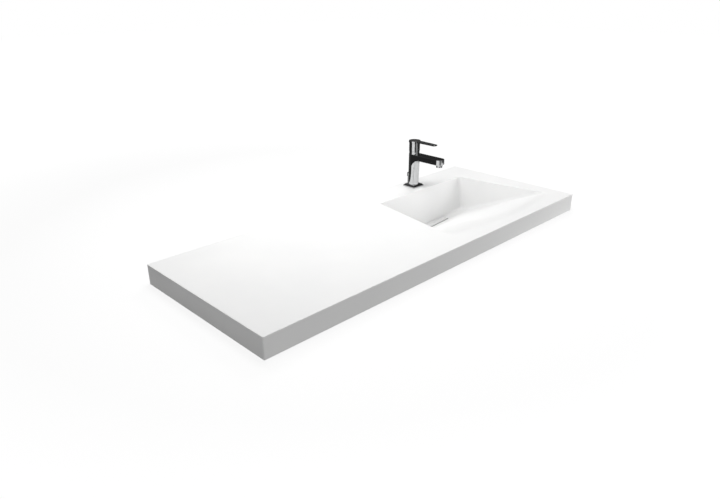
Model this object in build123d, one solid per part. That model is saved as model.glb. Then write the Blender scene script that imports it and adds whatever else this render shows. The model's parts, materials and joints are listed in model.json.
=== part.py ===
from build123d import *
import math
import os

# Frame: +X runs along the top towards the basin end, +Y towards the wall, +Z up. The origin is at
# mid-length on the underside of the rear apron, where the top rests against the wall. Lengths are
# in millimetres, angles in degrees.

# Worktop
top_length = 1300.0
top_depth = 500.0
slab_height = 56.0
panel_thickness = 12.0
apron_thickness = 12.0
edge_radius = 1.5
corner_radius = 3.0

# Basin
basin_right_ledge = 51.37
basin_back_length = 423.0
basin_front_ledge = 78.0
basin_flare_angle = 10.0
back_wall_angle = 9.0
gutter_depth = 132.0
gutter_width = 28.0
gutter_fall_share = 0.0605
basin_wall = 10.0
basin_corner_radius = 12.0
basin_foot_radius = 11.5
crease_radius = 20.0
valley_radius = 300.0
rim_radius = 2.0
ramp_blend_radius = 90.0
flange_width = 15.0
flange_thickness = 8.0

# Drain slot and its cover strip
tap_offset = 9.0
pocket_length = 194.0
slot_width = 6.0
cover_width = 19.0
cover_thickness = 5.0
cover_gap = 1.0
cover_drop = 0.6
leg_spacing = 140.0
leg_length = 8.0
leg_width = 16.0
cover_foot_height = 3.0

# Drain box under the slot
boss_drop = 20.0
boss_margin = 14.0
drain_box_flange_gap = 1.0
drain_box_depth = 30.0
drain_box_wall = 5.0
drain_box_lip = 9.0
drain_seal_thickness = 1.0
box_screw_radius = 2.0
box_screw_grip = 12.0
box_screw_head_radius = 4.0
box_screw_head_height = 2.5

# Waste
waste_tube_radius = 20.9
waste_bore_radius = 18.0
waste_flange_radius = 28.0
waste_flange_thickness = 3.0
waste_hole_clearance = 1.1
waste_seal_thickness = 2.0
waste_nut_radius = 31.0
waste_nut_height = 9.0
waste_length = 66.0
thread_clearance = 0.05
tailpiece_radius = 16.0
tailpiece_wall = 1.5
tailpiece_neck_radius = 15.5
tailpiece_neck_below = 1.0
tailpiece_length = 80.0
tailpiece_insertion = 18.0
tailpiece_clearance = 0.2
slip_nut_radius = 26.0
slip_nut_height = 16.0
slip_nut_floor = 3.0
slip_seal_thickness = 3.0

# Pop-up plug and its linkage
plug_head_radius = 23.0
plug_head_thickness = 4.0
plug_seal_outer = 21.5
plug_seal_inner = 18.6
plug_seal_thickness = 2.0
plug_stem_radius = 5.0
plug_eye_thickness = 3.0
plug_eye_width = 12.0
plug_eye_radius = 3.4
plug_eye_below = 6.0
closed_gap = 0.1
ball_radius = 7.0
ball_reach = 26.0
ball_below_nut = 17.0
port_radius = 11.5
port_bore_radius = 7.3
port_length = 12.0
port_throat_radius = 4.6
port_nut_radius = 14.5
port_nut_floor = 3.0
port_nut_mouth_radius = 6.0
ball_seal_thickness = 1.5
pivot_rod_radius = 2.5
pivot_rod_inner_end = 5.0
pivot_rod_outer_end = 12.0
lift_travel = 22.0
lift_rod_radius = 2.5
lift_rod_below = 125.0
lift_rod_hole_clearance = 1.0
rod_notch_clearance = 0.6
knob_radius = 4.6
knob_height = 15.0
knob_bottom = 31.0
knob_clearance = 1.3
lift_rod_to_wall = 26.5
strap_thickness = 1.5
strap_width = 11.0
strap_top_below = 70.0
strap_hole_radius = 2.9
strap_hole_pitch = 14.0
strap_hole_count = 5
strap_ear_height = 1.5
strap_ear_reach = 6.0
strap_ear_clearance = 0.1
strap_screw_radius = 2.0
strap_screw_length = 7.0
strap_screw_head_radius = 5.0
strap_screw_head_height = 4.0
clip_radius = 5.0
clip_thickness = 1.0
clip_gap = 1.0

# Mixer base and body
plate_size = 52.0
plate_thickness = 8.5
plate_chamfer = 5.5
plate_corner = 2.0
gasket_inset = 2.0
gasket_thickness = 0.8
tap_hole_radius = 17.5
spigot_radius = 15.5
spigot_below = 2.0
body_radius = 18.6
body_top = 128.0
neck_radius = 17.8
neck_height = 11.0
cartridge_bore_radius = 14.0
cartridge_depth = 38.0
inlet_radius = 4.6
inlet_spacing = 14.0
inlet_forward = 5.0
inlet_depth = 12.0
supply_radius = 3.0

# Spout
spout_reach = 125.0
spout_bottom = 99.5
spout_height = 18.3
spout_inset = 0.4
spout_edge = 0.8
spout_end_radius = 13.0
spout_arch_radius = 34.0
waterway_radius = 5.0
aerator_reach = 112.0
aerator_radius = 10.6
aerator_height = 12.5
aerator_below = 9.5
aerator_wall = 1.6
aerator_boss_radius = 11.8
aerator_boss_below = 2.5
aerator_seat_clearance = 0.1
aerator_notch_count = 9
aerator_notch_width = 3.0
aerator_notch_height = 6.0
aerator_notch_turn = 30.0
insert_recess = 0.4
insert_thickness = 8.0
insert_hole_radius = 0.9
insert_ring_radius = 3.3
insert_outer_ring_radius = 6.2
insert_ring_holes = 8
insert_outer_ring_holes = 14

# Cartridge
cartridge_radius = 12.5
cartridge_nut_height = 7.0
outlet_radius = 4.0
rotor_radius = 6.0
rotor_clearance = 0.05
rotor_depth = 16.0
rotor_above = 14.0
spindle_radius = 3.0
spindle_neck_radius = 1.8
spindle_ball_radius = 3.0
spindle_clearance = 0.08
spindle_depth = 10.0
spindle_seat = 2.0

# Handle
collar_gap = 0.8
collar_radius = 18.6
collar_wall = 2.5
collar_top = 157.7
collar_roof = 8.0
hub_radius = 10.0
hub_height = 9.0
hub_clearance = 0.05
grub_radius = 2.0
lever_gap = 0.5
lever_thickness = 6.2
lever_reach = 94.0
lever_width = 21.0
lever_tip_width = 18.0
lever_tip_thickness = 3.8
lever_tip_drop = 1.0
lever_overhang = 1.7
lever_edge = 0.8
lever_lift_angle = 20.0
hinge_back = 14.0
hinge_below = 3.6
knuckle_radius = 3.2
knuckle_width = 12.0
knuckle_clearance = 0.35
lever_pin_radius = 1.5
lever_pin_length = 20.0
lever_pin_clearance = 0.05
slider_width = 13.0
slider_front = 6.0
slider_back = 5.0
slider_below = 4.2
slider_play = 0.2
slider_slit = 4.6
window_side_play = 1.0
window_front_play = 3.2
window_back_play = 2.0
relief_margin_angle = 4.0

# Fixing under the deck
stud_radius = 4.0
stud_back = 9.0
stud_length = 32.0
stud_insertion = 12.0
washer_clearance = 2.0
rubber_thickness = 3.0
horseshoe_thickness = 2.0
horseshoe_gap = 27.0
horseshoe_back = 2.0
stud_hole_clearance = 0.4
stud_nut_radius = 7.2
stud_nut_height = 7.0

# Carcass
rail_width = 30.0
rail_to_bowl = 12.0
cross_rail_shares = (0.32, 0.68)
insert_radius = 5.0
insert_bore_radius = 3.4
insert_length = 16.0
insert_pocket = 2.0
insert_clearance = 0.05
insert_from_end = 91.2

# Cutting
overrun = 5.0
touch_tolerance = 0.01

# Worktop places
rear_y = apron_thickness / 2
front_y = rear_y - top_depth
right_x = top_length / 2
left_x = -right_x
top_z = slab_height
panel_z = top_z - panel_thickness
half_space = 2 * (top_length + top_depth)

# Basin places
lift_rod_back = body_radius + knob_radius + knob_clearance
washer_radius = lift_rod_back - lift_rod_radius - washer_clearance
tap_behind_basin = basin_wall + flange_width + washer_radius + washer_clearance
basin_ledge = tap_behind_basin + lift_rod_back + lift_rod_to_wall
basin_back_y = rear_y - basin_ledge
basin_front_y = front_y + basin_front_ledge
flare = math.tan(math.radians(basin_flare_angle))
basin_front_length = basin_back_length + 2 * (basin_back_y - basin_front_y) * flare
basin_x = right_x - basin_right_ledge - basin_front_length / 2
gutter_z = top_z - gutter_depth
foot_y = basin_back_y - gutter_depth * math.tan(math.radians(back_wall_angle))
gutter_front_y = foot_y - gutter_width
tap_x = basin_x + tap_offset
tap_y = basin_back_y + tap_behind_basin
drain_x = tap_x

# Drain places
cove_reach = basin_foot_radius / math.tan(math.radians(90 + back_wall_angle) / 2)
pocket_back_y = foot_y + cove_reach * math.sin(math.radians(back_wall_angle))
pocket_front_y = pocket_back_y - cover_gap - cover_width - slot_width
boss_z = gutter_z - boss_drop
drain_y = (pocket_front_y + pocket_back_y) / 2
drain_box_length = pocket_length + 2 * boss_margin
drain_box_rim = drain_box_wall + drain_box_lip
drain_box_width = 2 * (waste_flange_radius + drain_box_flange_gap + drain_box_rim)
drain_box_top = boss_z - drain_seal_thickness
drain_floor_z = drain_box_top - drain_box_depth
drain_box_z = drain_floor_z - drain_box_wall
waste_hole_radius = waste_tube_radius + waste_hole_clearance
flange_top_z = drain_floor_z + waste_seal_thickness + waste_flange_thickness
waste_nut_z = drain_box_z - waste_seal_thickness - waste_nut_height
ball_z = waste_nut_z - ball_below_nut
waste_end_z = drain_box_z - waste_length
slip_nut_z = waste_end_z - slip_seal_thickness - slip_nut_floor
ball_y = drain_y + ball_reach

# Linkage places
rod_y = tap_y + lift_rod_back
strap_y = rod_y - lift_rod_radius - strap_thickness / 2
outer_arm = strap_y - ball_y
rest_angle = math.degrees(math.atan(lift_travel / 2 / outer_arm))
plug_travel = 2 * ball_reach * math.tan(math.radians(rest_angle))
plug_under_z = flange_top_z + plug_seal_thickness + closed_gap + plug_travel

# Mixer places
plate_z = top_z + gasket_thickness
body_z = plate_z + plate_thickness
crown_z = top_z + body_top
spout_z = top_z + spout_bottom
spout_width = 2 * (body_radius - spout_inset)
spigot_z = top_z - panel_thickness - spigot_below
hinge_z = top_z + collar_top - hinge_below
hinge_y = tap_y + hinge_back
lever_z = top_z + collar_top + lever_gap
cartridge_z = crown_z - cartridge_depth
channel_z = spout_z + spout_height / 2
collar_z = crown_z + collar_gap

# Carcass places
rail_left_x = left_x + apron_thickness
rail_right_x = basin_x - basin_front_length / 2 - basin_wall - flange_width - rail_to_bowl
rail_length = rail_right_x - rail_left_x
insert_pitch = rail_length - 2 * insert_from_end
rail_front_y = front_y + apron_thickness
rail_back_y = rear_y - apron_thickness


def block(x_span, y_span, z_span):
    """Return a box between three pairs of limits."""
    sizes = [span[1] - span[0] for span in (x_span, y_span, z_span)]
    corner = Pos(x_span[0], y_span[0], z_span[0])
    return corner * Box(*sizes, align=(Align.MIN, Align.MIN, Align.MIN))


def around(centre, width):
    """Return the limits of a width centred on a place."""
    return (centre - width / 2, centre + width / 2)


def post(x, y, z_low, z_high, radius):
    """Return an upright cylinder between two heights."""
    rod = Cylinder(radius, z_high - z_low, align=(Align.CENTER, Align.CENTER, Align.MIN))
    return Pos(x, y, z_low) * rod


def bar_y(x, z, y_low, y_high, radius):
    """Return a cylinder along Y between two places."""
    rod = Cylinder(radius, y_high - y_low, align=(Align.CENTER, Align.CENTER, Align.MAX))
    return Pos(x, y_low, z) * Rot(X=90) * rod


def bar_x(y, z, x_low, x_high, radius):
    """Return a cylinder along X between two places."""
    rod = Cylinder(radius, x_high - x_low, align=(Align.CENTER, Align.CENTER, Align.MIN))
    return Pos(x_low, y, z) * Rot(Y=90) * rod


def ring(x, y, z_low, z_high, outer, inner):
    """Return an upright tube between two heights."""
    bore = post(x, y, z_low - overrun, z_high + overrun, inner)
    return post(x, y, z_low, z_high, outer) - bore


def beyond(point, normal, grow):
    """Return a block that fills the space past a plane moved out by grow."""
    direction = Vector(*normal).normalized()
    face = Plane(origin=Vector(*point) + direction * grow, z_dir=direction)
    return face * Box(half_space, half_space, half_space, align=(Align.CENTER, Align.CENTER, Align.MIN))


def wall_faces():
    """Return the basin's walls as pairs of a point and an outward normal."""
    turn = math.radians(basin_flare_angle)
    lean = math.radians(back_wall_angle)
    half = basin_back_length / 2
    back = ((basin_x, basin_back_y, top_z), (0, math.cos(lean), -math.sin(lean)))
    right = ((basin_x + half, basin_back_y, top_z), (math.cos(turn), math.sin(turn), 0))
    left = ((basin_x - half, basin_back_y, top_z), (-math.cos(turn), math.sin(turn), 0))
    return [back, right, left]


def floor_faces():
    """Return the two gutter planes and the two ramp planes, which meet in a shallow valley."""
    valley = Vector(drain_x, gutter_front_y, gutter_z)
    faces = []
    for side in (1, -1):
        along = Vector(side, 0, gutter_fall_share)
        corner = Vector(basin_x + side * basin_front_length / 2, basin_front_y, top_z)
        across = corner - valley
        slope = along.cross(across)
        if slope.Z > 0:
            slope = slope * -1
        faces.append((tuple(valley), (side * gutter_fall_share, 0, -1)))
        faces.append((tuple(valley), tuple(slope)))
    return faces


def within_walls(z_span, grow):
    """Return the space between the basin's walls, with the walls moved outwards."""
    x_span = around(basin_x, 2 * basin_front_length)
    y_span = (basin_front_y - 2 * ramp_blend_radius, rear_y)
    space = block(x_span, y_span, z_span)
    for point, normal in wall_faces():
        space = space - beyond(point, normal, grow)
    return space


def basin_space(wall_grow, floor_grow, ceiling):
    """Return the space inside the basin up to a ceiling, with its faces moved outwards."""
    space = within_walls((gutter_z - gutter_depth, ceiling), wall_grow)
    for point, normal in floor_faces():
        space = space - beyond(point, normal, floor_grow)
    return space


def lies_on(edge, faces):
    """Tell whether an edge runs in one of the given planes."""
    for point, normal in faces:
        direction = Vector(*normal).normalized()
        gaps = [abs((edge.position_at(share) - Vector(*point)).dot(direction)) for share in (0, 0.5, 1)]
        if max(gaps) < touch_tolerance:
            return True
    return False


def edges_between(shape, first, second):
    """Return the edges where a plane of the first list meets one of the second."""
    return [edge for edge in shape.edges() if lies_on(edge, first) and lies_on(edge, second)]


def is_upright(edge):
    """Tell whether an edge climbs as steeply as the back wall."""
    return abs(edge.tangent_at(0.5).Z) > math.cos(math.radians(2 * back_wall_angle))


def valley_space():
    """Return the basin's inner space with the shallow valley of its ramp rounded."""
    space = basin_space(0, 0, top_z + gutter_width)
    right_ramp, left_ramp = floor_faces()[1::2]
    return fillet(edges_between(space, [right_ramp], [left_ramp]), valley_radius)


def basin_hollow():
    """Return the basin's inner space with rounded corners, foot and crease."""
    space = valley_space()
    walls = wall_faces()
    space = fillet(edges_between(space, walls[:1], walls[1:]), basin_corner_radius)
    gutters = floor_faces()[0::2]
    ramps = floor_faces()[1::2]
    space = fillet(edges_between(space, gutters, ramps), crease_radius)
    feet = [edge for edge in space.edges() if lies_on(edge, walls) and edge.center().Z < top_z]
    return fillet([edge for edge in feet if not is_upright(edge)], basin_foot_radius)


def cut_out():
    """Return the space that the basin takes from the sheet, its ramp blended into the surface."""
    space = valley_space() + within_walls((top_z, top_z + gutter_width), 0)
    surface = [((basin_x, basin_front_y, top_z), (0, 0, 1))]
    walls = wall_faces()
    creases = [edge for edge in space.edges() if lies_on(edge, surface) and not lies_on(edge, walls)]
    space = fillet([edge for edge in creases if edge.center().Y > front_y], ramp_blend_radius)
    space = fillet(edges_between(space, walls[:1], walls[1:]), basin_corner_radius)
    feet = [edge for edge in space.edges() if lies_on(edge, walls[1:]) and not lies_on(edge, walls[:1])]
    feet = [edge for edge in feet if edge.center().Z < top_z + touch_tolerance]
    return fillet([edge for edge in feet if not is_upright(edge)], basin_foot_radius)


def rim_edges(sheet):
    """Return the edges of the basin's cut-out on the sheet's top face."""
    margin = 2 * corner_radius
    inside = [edge for edge in sheet.edges() if abs(edge.center().Z - top_z) < touch_tolerance]
    inside = [edge for edge in inside if abs(edge.center().X) < right_x - margin]
    return [edge for edge in inside if front_y + margin < edge.center().Y < rear_y - margin]


def rounded_rim(sheet):
    """Return the sheet with the rim rounded from the back to where the walls run out in front."""
    sides = [edge for edge in rim_edges(sheet) if lies_on(edge, wall_faces()[1:])]
    run_out = max(min(vertex.Y for vertex in edge.vertices()) for edge in sides)
    start_y = run_out + 2 * rim_radius
    spans = ((left_x, right_x), (start_y, rear_y), (panel_z, top_z))
    rear = sheet & block(*spans)
    rims = [edge for edge in rim_edges(rear) if edge.center().Y > start_y + touch_tolerance]
    return (sheet - block(*spans)) + fillet(rims, rim_radius)


def worktop_panel():
    """Return the sheet with its rounded edges, the basin cut-out and the tap holes."""
    sheet = block((left_x, right_x), (front_y, rear_y), (panel_z, top_z))
    sheet = rounded_rim(sheet - cut_out())
    upright = sheet.edges().filter_by(Axis.Z)
    outer = [edge for edge in upright if abs(edge.center().X) > right_x - corner_radius]
    sheet = fillet(outer, corner_radius)
    upper = [edge for edge in sheet.edges() if abs(edge.center().Z - top_z) < touch_tolerance]
    sheet = fillet([edge for edge in upper if edge not in rim_edges(sheet)], edge_radius)
    sheet = sheet - post(tap_x, tap_y, panel_z - overrun, top_z + overrun, tap_hole_radius)
    rod_hole = lift_rod_radius + lift_rod_hole_clearance
    return sheet - post(tap_x, rod_y, panel_z - overrun, top_z + overrun, rod_hole)


def end_apron(x_span):
    """Return one end's drop edge, between the front and the rear one."""
    return block(x_span, (front_y + apron_thickness, rear_y - apron_thickness), (0, panel_z))


def long_apron(y_span, outer_side):
    """Return the front or the rear drop edge, with its outer upright corners rounded."""
    strip = block((left_x, right_x), y_span, (0, panel_z))
    outer = strip.edges().filter_by(Axis.Z).group_by(Axis.Y)[outer_side]
    return fillet(outer, corner_radius)


def pocket():
    """Return the rectangular way down from the gutter into the drain box."""
    y_span = (pocket_front_y, pocket_back_y)
    return block(around(drain_x, pocket_length), y_span, (boss_z - overrun, top_z))


def basin_bowl():
    """Return the moulded bowl with its glue flange and the drain boss."""
    shell = basin_space(basin_wall, basin_wall, panel_z)
    lip = basin_space(basin_wall + flange_width, basin_wall, panel_z)
    lip_z = (panel_z - flange_thickness, panel_z)
    lip = lip & block((left_x, right_x), (front_y, rear_y), lip_z)
    plan_x = around(drain_x, drain_box_length)
    boss = block(plan_x, around(drain_y, drain_box_width), (boss_z, gutter_z + basin_wall))
    bowl = shell + lip + boss - basin_hollow() - pocket()
    for x, y in box_screw_places():
        bowl = bowl - post(x, y, boss_z - overrun, boss_z + box_screw_grip / 2, box_screw_radius)
    return bowl


def box_screw_places():
    """Return the places of the drain box's four screws."""
    inset = drain_box_lip
    xs = around(drain_x, drain_box_length - inset)
    ys = around(drain_y, drain_box_width - inset)
    return [(x, y) for x in xs for y in ys]


def slot_cover():
    """Return the cover strip, which follows the gutter's fall and the wall's cove, on its two legs."""
    x_span = around(drain_x, pocket_length - 2 * cover_gap)
    y_span = (pocket_front_y + slot_width, pocket_back_y - cover_gap)
    under = basin_space(flange_width, cover_drop + cover_thickness, top_z)
    plate = under & block(x_span, y_span, (boss_z, gutter_z + gutter_width))
    plate = plate - Pos(0, 0, -cover_drop) * basin_hollow()
    leg_top = gutter_z + gutter_fall_share * leg_spacing / 2 - cover_drop - cover_thickness / 2
    for x in around(drain_x, leg_spacing):
        leg_y = around(drain_y + slot_width / 2, leg_width)
        leg = block(around(x, leg_length), leg_y, (drain_floor_z + cover_foot_height, leg_top))
        plate = plate + leg
    return plate


def slot_cover_feet():
    """Return the two rubber feet under the cover strip's legs."""
    feet = []
    for x in around(drain_x, leg_spacing):
        leg_y = around(drain_y + slot_width / 2, leg_width)
        height = (drain_floor_z, drain_floor_z + cover_foot_height)
        feet.append(block(around(x, leg_length), leg_y, height))
    return Compound(children=feet)


def drain_box():
    """Return the open trough that is screwed under the bowl, with the waste hole in its floor."""
    plan_x = around(drain_x, drain_box_length)
    plan_y = around(drain_y, drain_box_width)
    rim = block(plan_x, plan_y, (drain_box_top - drain_box_wall, drain_box_top))
    lip = 2 * drain_box_lip
    body_x = around(drain_x, drain_box_length - lip)
    body_y = around(drain_y, drain_box_width - lip)
    body = block(body_x, body_y, (drain_box_z, drain_box_top))
    wall = lip + 2 * drain_box_wall
    inner_x = around(drain_x, drain_box_length - wall)
    inner_y = around(drain_y, drain_box_width - wall)
    room = block(inner_x, inner_y, (drain_floor_z, drain_box_top + overrun))
    box = rim + body - room
    box = box - post(drain_x, drain_y, drain_box_z - overrun, drain_floor_z + overrun, waste_hole_radius)
    for x, y in box_screw_places():
        hole = post(x, y, drain_box_z, drain_box_top + overrun, box_screw_radius)
        box = box - hole
    return box


def drain_box_seal():
    """Return the flat seal between the bowl's boss and the drain box."""
    height = (drain_box_top, boss_z)
    seal = block(around(drain_x, drain_box_length), around(drain_y, drain_box_width), height)
    wall = 2 * (drain_box_lip + drain_box_wall)
    inner_x = around(drain_x, drain_box_length - wall)
    inner_y = around(drain_y, drain_box_width - wall)
    seal = seal - block(inner_x, inner_y, (drain_box_top - overrun, boss_z + overrun))
    for x, y in box_screw_places():
        seal = seal - post(x, y, drain_box_top - overrun, boss_z + overrun, box_screw_radius)
    return seal


def drain_box_screws():
    """Return the drain box's four screws."""
    screws = []
    rim_z = drain_box_top - drain_box_wall
    for x, y in box_screw_places():
        shank_radius = box_screw_radius - thread_clearance
        shank = post(x, y, rim_z - overrun / 5, boss_z + box_screw_grip / 2, shank_radius)
        head = post(x, y, rim_z - box_screw_head_height, rim_z, box_screw_head_radius)
        screws.append(shank + head)
    return Compound(children=screws)


def waste_body():
    """Return the flanged waste with the side port for the pivot rod."""
    flange_z = drain_floor_z + waste_seal_thickness
    tube = post(drain_x, drain_y, waste_end_z, flange_z + waste_flange_thickness, waste_tube_radius)
    flange = post(drain_x, drain_y, flange_z, flange_top_z, waste_flange_radius)
    port = bar_y(drain_x, ball_z, drain_y, ball_y + port_length / 2, port_radius)
    bore = post(drain_x, drain_y, waste_end_z - overrun, flange_top_z + overrun, waste_bore_radius)
    seat = bar_y(drain_x, ball_z, ball_y - ball_radius / 2, ball_y + port_length, port_bore_radius)
    throat = bar_y(drain_x, ball_z, drain_y, ball_y, port_throat_radius)
    cup = Pos(drain_x, ball_y, ball_z) * Sphere(port_bore_radius)
    return tube + flange + port - bore - seat - throat - cup


def ball_socket_nut():
    """Return the cap nut that holds the pivot ball in its port."""
    end = ball_y + ball_radius + ball_seal_thickness + port_nut_floor
    start = drain_y + waste_tube_radius + clip_gap / 2
    nut = bar_y(drain_x, ball_z, start, end, port_nut_radius)
    thread = port_radius + thread_clearance
    nut = nut - bar_y(drain_x, ball_z, ball_y - port_length, ball_y + port_length / 2, thread)
    inner_end = ball_y + ball_radius + ball_seal_thickness
    nut = nut - bar_y(drain_x, ball_z, ball_y, inner_end, port_bore_radius)
    return nut - bar_y(drain_x, ball_z, ball_y, end + overrun, port_nut_mouth_radius)


def ball_seal():
    """Return the seal ring between the ball and the cap nut."""
    start = ball_y + ball_radius
    end = start + ball_seal_thickness
    outer = bar_y(drain_x, ball_z, start - ball_radius / 3, end, port_bore_radius)
    outer = outer - bar_y(drain_x, ball_z, ball_y, start + port_length, port_nut_mouth_radius)
    return outer - Pos(drain_x, ball_y, ball_z) * Sphere(ball_radius + closed_gap)


def pivot_rod():
    """Return the pivot rod and its ball, tilted so that the plug stands open."""
    back = outer_arm + pivot_rod_outer_end
    front = ball_reach + pivot_rod_inner_end
    rod = bar_y(0, 0, -front, back, pivot_rod_radius) + Sphere(ball_radius)
    return Pos(drain_x, ball_y, ball_z) * Rot(X=-rest_angle) * rod


def clevis_clip():
    """Return the two spring rings that keep the strap in place on the pivot rod."""
    centre = outer_arm / math.cos(math.radians(rest_angle))
    offset = strap_thickness / 2 + clip_gap
    clips = []
    for side in (1, -1):
        near = centre + side * offset
        far = near + side * clip_thickness
        low = min(near, far)
        high = max(near, far)
        disc = bar_y(0, 0, low, high, clip_radius)
        disc = disc - bar_y(0, 0, low - overrun, high + overrun, pivot_rod_radius)
        clips.append(Pos(drain_x, ball_y, ball_z) * Rot(X=-rest_angle) * disc)
    return Compound(children=clips)


def popup_plug():
    """Return the plug with its stem and the eye that rides on the pivot rod."""
    eye_z = ball_z + plug_travel / 2
    head = post(drain_x, drain_y, plug_under_z, plug_under_z + plug_head_thickness, plug_head_radius)
    head = fillet(head.edges().group_by(Axis.Z)[-1], plug_head_thickness / 2)
    stem = post(drain_x, drain_y, eye_z + plug_eye_width, plug_under_z, plug_stem_radius)
    tongue_z = (eye_z - plug_eye_below, eye_z + plug_eye_width + plug_stem_radius)
    tongue = block(around(drain_x, plug_eye_width), around(drain_y, plug_eye_thickness), tongue_z)
    eye = bar_y(drain_x, eye_z, drain_y - plug_eye_width, drain_y + plug_eye_width, plug_eye_radius)
    return head + stem + tongue - eye


def plug_seal():
    """Return the seal ring under the plug's head."""
    low = plug_under_z - plug_seal_thickness
    return ring(drain_x, drain_y, low, plug_under_z, plug_seal_outer, plug_seal_inner)


def hexagon_nut(x, y, z_low, z_high, radius, bore):
    """Return a six-sided nut; radius is that of the circle inside its flats."""
    outline = Plane(origin=(x, y, z_low)) * RegularPolygon(radius, 6, major_radius=False)
    return extrude(outline, z_high - z_low) - post(x, y, z_low - overrun, z_high + overrun, bore)


def tailpiece():
    """Return the outlet tube that a trap fastens to, with a slimmer neck inside the waste."""
    start = waste_end_z + tailpiece_insertion
    shoulder = slip_nut_z - tailpiece_neck_below
    bore = tailpiece_radius - tailpiece_wall
    tube = ring(drain_x, drain_y, start - tailpiece_length, shoulder, tailpiece_radius, bore)
    return tube + ring(drain_x, drain_y, shoulder, start, tailpiece_neck_radius, bore)


def tailpiece_seal():
    """Return the wedge seal between the waste's end and the slip nut."""
    low = waste_end_z - slip_seal_thickness
    inner = tailpiece_neck_radius + closed_gap / 2
    return ring(drain_x, drain_y, low, waste_end_z, waste_tube_radius - closed_gap, inner)


def tailpiece_nut():
    """Return the slip nut that clamps the tailpiece."""
    high = slip_nut_z + slip_nut_height
    nut = post(drain_x, drain_y, slip_nut_z, high, slip_nut_radius)
    thread = waste_tube_radius + thread_clearance
    nut = nut - post(drain_x, drain_y, slip_nut_z + slip_nut_floor, high + overrun, thread)
    hole = tailpiece_radius + tailpiece_clearance
    return nut - post(drain_x, drain_y, slip_nut_z - overrun, high, hole)


def lift_rod():
    """Return the upright rod of the pop-up waste."""
    high = top_z + knob_bottom + knob_height / 2
    return post(tap_x, rod_y, top_z - lift_rod_below, high, lift_rod_radius)


def lift_knob():
    """Return the rounded knob on the lift rod."""
    low = top_z + knob_bottom
    knob = post(tap_x, rod_y, low, low + knob_height, knob_radius)
    knob = fillet(knob.edges().group_by(Axis.Z)[-1], knob_radius * 2 / 3)
    knob = fillet(knob.edges().group_by(Axis.Z)[0], knob_radius / 3)
    return knob - post(tap_x, rod_y, low - overrun, low + knob_height / 2, lift_rod_radius)


def clevis_strap():
    """Return the perforated strap between the lift rod and the pivot rod."""
    rest_z = ball_z - lift_travel / 2
    bottom = rest_z - strap_hole_pitch
    top = top_z - strap_top_below
    depth = around(strap_y, strap_thickness)
    strap = block(around(tap_x, strap_width), depth, (bottom, top))
    for index in range(strap_hole_count):
        height = rest_z + index * strap_hole_pitch
        strap = strap - bar_y(tap_x, height, depth[0] - overrun, depth[1] + overrun, strap_hole_radius)
    ear_end = rod_y + strap_ear_reach
    for low in (top - strap_ear_height, top - strap_width - strap_ear_height):
        ear_z = (low, low + strap_ear_height)
        strap = strap + block(around(tap_x, strap_width), (depth[0], ear_end), ear_z)
    hole = lift_rod_radius + strap_ear_clearance
    passage = post(tap_x, rod_y, top - 2 * strap_width, top + overrun, hole)
    behind = block(around(tap_x, strap_width), (depth[1], ear_end), around(top, 4 * strap_width))
    screw_z = top - strap_width / 2 - strap_ear_height
    screw_hole = bar_y(tap_x, screw_z, depth[0] - overrun, depth[1] + overrun, strap_screw_radius)
    return strap - (passage & behind) - screw_hole


def clevis_screw():
    """Return the thumb screw that clamps the strap to the lift rod."""
    top = top_z - strap_top_below
    screw_z = top - strap_width / 2 - strap_ear_height
    end = rod_y - lift_rod_radius
    shank_start = end - strap_screw_length
    shank = bar_y(tap_x, screw_z, shank_start, end, strap_screw_radius - thread_clearance)
    head_start = shank_start - strap_screw_head_height
    return shank + bar_y(tap_x, screw_z, head_start, shank_start, strap_screw_head_radius)


def tap_plate():
    """Return the square base plate with its bore and the notch for the lift rod."""
    blank = block(around(tap_x, plate_size), around(tap_y, plate_size), (plate_z, body_z))
    plate = chamfer(blank.edges().group_by(Axis.Z)[-1], plate_chamfer)
    plate = plate & fillet(blank.edges().filter_by(Axis.Z), plate_corner)
    bore = spigot_radius + thread_clearance
    return plate - post(tap_x, tap_y, plate_z - overrun, body_z + overrun, bore) - rod_notch()


def rod_notch():
    """Return the notch at the back edge of the plate and its gasket."""
    radius = lift_rod_radius + rod_notch_clearance
    height = (top_z - overrun, body_z + overrun)
    slot = block(around(tap_x, 2 * radius), (rod_y, rod_y + plate_size), height)
    return slot + post(tap_x, rod_y, *height, radius)


def tap_plate_gasket():
    """Return the thin gasket between the plate and the worktop."""
    size = plate_size - 2 * gasket_inset
    pad = block(around(tap_x, size), around(tap_y, size), (top_z, plate_z))
    return pad - post(tap_x, tap_y, top_z - overrun, plate_z + overrun, tap_hole_radius) - rod_notch()


def spout():
    """Return the flat spout, nearly as wide as the body, with a rounded nose."""
    x_span = around(tap_x, spout_width)
    arm = block(x_span, (tap_y - spout_reach, tap_y), (spout_z, spout_z + spout_height))
    nose = arm.edges().filter_by(Axis.Z).group_by(Axis.Y)[0]
    arm = fillet(nose, spout_end_radius)
    ends = [edge for edge in arm.edges() if edge.center().Y < tap_y - touch_tolerance]
    rims = [edge for edge in ends if abs(edge.tangent_at(0.5).Z) < touch_tolerance]
    return fillet(rims, spout_edge)


def spout_arch():
    """Return the concave web that carries the spout on the body."""
    side_meet = math.sqrt(body_radius**2 - (spout_width / 2)**2)
    arch_y = tap_y - side_meet / 2 - spout_arch_radius
    arch_z = spout_z - spout_arch_radius
    web_z = (arch_z, spout_z + spout_height / 2)
    web = block(around(tap_x, spout_width), (arch_y, tap_y), web_z)
    return web - bar_x(arch_y, arch_z, *around(tap_x, 2 * spout_width), spout_arch_radius)


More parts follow.
